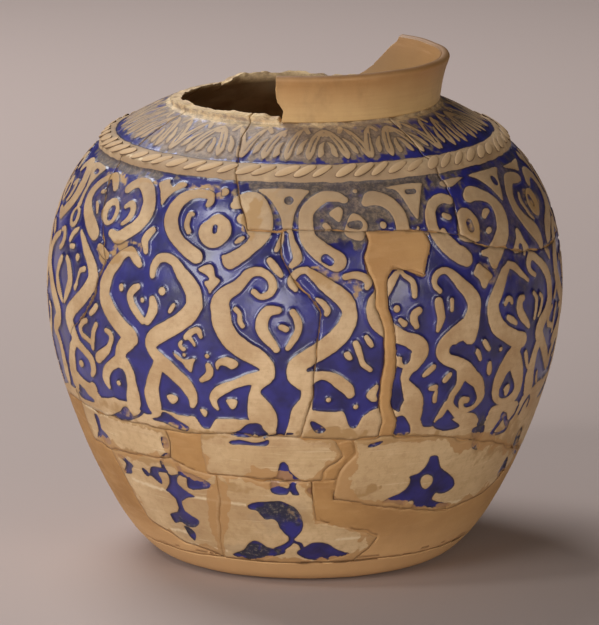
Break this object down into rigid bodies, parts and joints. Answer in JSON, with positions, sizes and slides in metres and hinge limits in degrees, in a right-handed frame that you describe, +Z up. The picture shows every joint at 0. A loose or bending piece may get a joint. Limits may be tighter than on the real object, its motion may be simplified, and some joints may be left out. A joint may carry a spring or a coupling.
{
  "type": "storage jar",
  "caption": "Large round storage jar, carved in a blue and buff lattice of medallions, rebuilt from sherds and plaster fills, with a broken neck collar",
  "frame": {"origin": "centre of the foot ring's resting face", "axes": "+Z up the jar's axis; -Y is the front, where the plaster patch shows; +X to the viewer's right"},
  "size_m": [0.28, 0.28, 0.274],
  "materials": {
    "carved_earthenware": "buff slip carved to a recessed ground of glossy cobalt glaze",
    "toned_plaster": "matt tan fill",
    "plain_collar": "matt unglazed pinkish tan"
  },
  "bodies": {
    "root": {"wall_sherd_left": "carved_earthenware", "wall_sherd_far_left": "carved_earthenware", "shoulder_sherd_front": "carved_earthenware", "shoulder_sherd_right": "carved_earthenware", "shoulder_sherd_back_right": "carved_earthenware", "shoulder_sherd_back_left": "carved_earthenware", "belly_sherd_centre": "carved_earthenware", "belly_sherd_right": "carved_earthenware", "belly_sherd_back_right": "carved_earthenware", "belly_sherd_back": "carved_earthenware", "belly_sherd_back_left": "carved_earthenware", "lower_sherd_top_left": "carved_earthenware", "lower_sherd_left": "carved_earthenware", "lower_sherd_front": "carved_earthenware", "lower_sherd_middle": "carved_earthenware", "lower_sherd_right": "carved_earthenware", "lower_sherd_back": "carved_earthenware", "belly_fill_front": "toned_plaster", "lower_fill_strip_left": "toned_plaster", "lower_fill_strip_right": "toned_plaster", "lower_fill_left": "toned_plaster", "lower_fill_right": "toned_plaster", "lower_fill_back": "toned_plaster", "foot_and_floor": "toned_plaster", "neck_collar": "plain_collar"}
  },
  "joints": []
}
